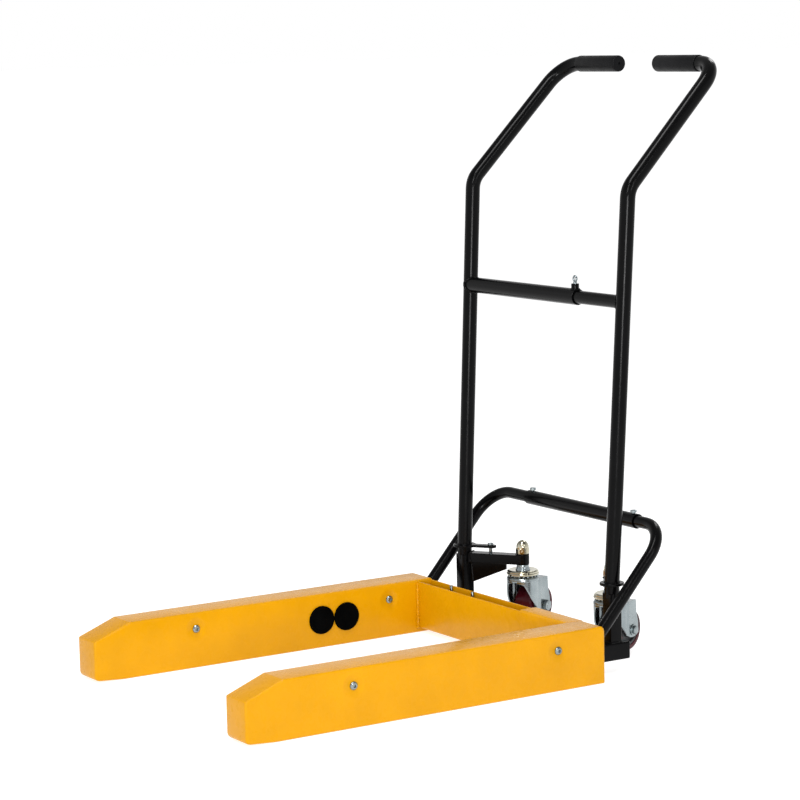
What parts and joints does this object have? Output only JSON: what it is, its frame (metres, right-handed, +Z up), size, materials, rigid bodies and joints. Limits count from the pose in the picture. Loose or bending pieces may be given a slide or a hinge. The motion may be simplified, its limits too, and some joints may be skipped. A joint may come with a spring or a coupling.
{
  "type": "fork trolley",
  "caption": "Low yellow U-shaped fork frame with a black tubular push handle, a tubular loop and swivel castors; its telescopic members let its width adjust.",
  "frame": {"origin": "on the floor, at the middle of the footprint between the toe tips and the backs of the grips", "axes": "+Z up; -Y forward, the way the toes point; +X from the left half towards the right half"},
  "size_m": [0.6086, 1.033, 1.063],
  "materials": {
    "yellow_paint": "glossy",
    "black_paint": "glossy",
    "zinc_plate": "satin",
    "chrome_plate": "polished",
    "grip_rubber": "matt",
    "pad_rubber": "matt",
    "hub_iron": "matt",
    "red_tyre": "satin"
  },
  "bodies": {
    "left_half": {"left_fork": "yellow_paint", "left_fork_end_plate": "yellow_paint", "left_front_fork_bolt": "zinc_plate", "left_front_fork_cap_nut": "zinc_plate", "left_rear_fork_bolt": "zinc_plate", "left_rear_fork_cap_nut": "zinc_plate", "left_front_pad": "pad_rubber", "left_rear_pad": "pad_rubber", "left_stub": "black_paint", "left_socket": "black_paint", "left_post": "black_paint", "left_grip": "grip_rubber", "left_castor_arm": "black_paint", "left_collar_plate": "black_paint", "left_castor_stem": "zinc_plate", "left_castor_cap_nut": "chrome_plate", "left_castor_cup": "chrome_plate", "left_loop_tube": "black_paint", "left_crosspiece_channel": "yellow_paint", "crossbar_outer_tube": "black_paint"},
    "right_half": {"right_fork": "yellow_paint", "right_fork_end_plate": "yellow_paint", "right_front_fork_bolt": "zinc_plate", "right_front_fork_cap_nut": "zinc_plate", "right_rear_fork_bolt": "zinc_plate", "right_rear_fork_cap_nut": "zinc_plate", "right_front_pad": "pad_rubber", "right_rear_pad": "pad_rubber", "right_stub": "black_paint", "right_socket": "black_paint", "right_post": "black_paint", "right_grip": "grip_rubber", "right_castor_arm": "black_paint", "right_collar_plate": "black_paint", "right_castor_stem": "zinc_plate", "right_castor_cap_nut": "chrome_plate", "right_castor_cup": "chrome_plate", "right_loop_tube": "black_paint", "right_crosspiece_sleeve": "yellow_paint", "crossbar_inner_tube": "black_paint"},
    "loop_sleeve": {"loop_sleeve": "black_paint"},
    "loop_left_set_screw": {"loop_left_set_screw": "zinc_plate"},
    "loop_right_set_screw": {"loop_right_set_screw": "zinc_plate"},
    "crossbar_clamp_screw": {"crossbar_clamp_screw": "zinc_plate"},
    "left_castor": {"left_castor_ball_cage": "zinc_plate", "left_castor_fork": "zinc_plate", "left_axle_sleeve": "zinc_plate", "left_axle_bolt": "zinc_plate", "left_axle_nut": "zinc_plate"},
    "left_wheel": {"left_wheel_tyre": "red_tyre", "left_wheel_hub": "hub_iron"},
    "left_lock_pin": {"left_lock_pin": "zinc_plate"},
    "right_castor": {"right_castor_ball_cage": "zinc_plate", "right_castor_fork": "zinc_plate", "right_axle_sleeve": "zinc_plate", "right_axle_bolt": "zinc_plate", "right_axle_nut": "zinc_plate"},
    "right_wheel": {"right_wheel_tyre": "red_tyre", "right_wheel_hub": "hub_iron"},
    "right_lock_pin": {"right_lock_pin": "zinc_plate"}
  },
  "joints": [
    {"name": "width_slide", "type": "slide", "parent": "left_half", "child": "right_half", "axis": [1, 0, 0], "range_m": [-0.045, 0.05]},
    {"name": "loop_sleeve_slide", "type": "slide", "parent": "left_half", "child": "loop_sleeve", "axis": [1, 0, 0], "range_m": [-0.0225, 0.025]},
    {"name": "loop_left_screw_turn", "type": "hinge", "parent": "loop_sleeve", "child": "loop_left_set_screw", "pos_m": [-0.136, 0.3495, 0.261], "axis": [0, 0, 1], "range_deg": [0, 720]},
    {"name": "loop_right_screw_turn", "type": "hinge", "parent": "loop_sleeve", "child": "loop_right_set_screw", "pos_m": [0.172, 0.3495, 0.261], "axis": [0, 0, 1], "range_deg": [0, 720]},
    {"name": "crossbar_screw_turn", "type": "hinge", "parent": "left_half", "child": "crossbar_clamp_screw", "pos_m": [0.095, 0.28425, 0.67], "axis": [0, 0, 1], "range_deg": [0, 720]},
    {"name": "left_castor_swivel", "type": "hinge", "parent": "left_half", "child": "left_castor", "pos_m": [-0.136, 0.3235, 0.1], "axis": [0, 0, 1], "continuous": true},
    {"name": "left_wheel_spin", "type": "hinge", "parent": "left_castor", "child": "left_wheel", "pos_m": [-0.14846, 0.35513, 0.043], "axis": [0.9304, 0.3665, 0], "continuous": true},
    {"name": "left_lock_pin_lift", "type": "slide", "parent": "left_half", "child": "left_lock_pin", "axis": [0, 0, 1], "range_m": [0, 0.012]},
    {"name": "right_castor_swivel", "type": "hinge", "parent": "right_half", "child": "right_castor", "pos_m": [0.136, 0.3235, 0.1], "axis": [0, 0, 1], "continuous": true},
    {"name": "right_wheel_spin", "type": "hinge", "parent": "right_castor", "child": "right_wheel", "pos_m": [0.12354, 0.35513, 0.043], "axis": [0.9304, 0.3665, 0], "continuous": true},
    {"name": "right_lock_pin_lift", "type": "slide", "parent": "right_half", "child": "right_lock_pin", "axis": [0, 0, 1], "range_m": [0, 0.012]}
  ],
  "couplings": [
    {"joint": "loop_sleeve_slide", "follows": "width_slide", "ratio": 0.5}
  ]
}
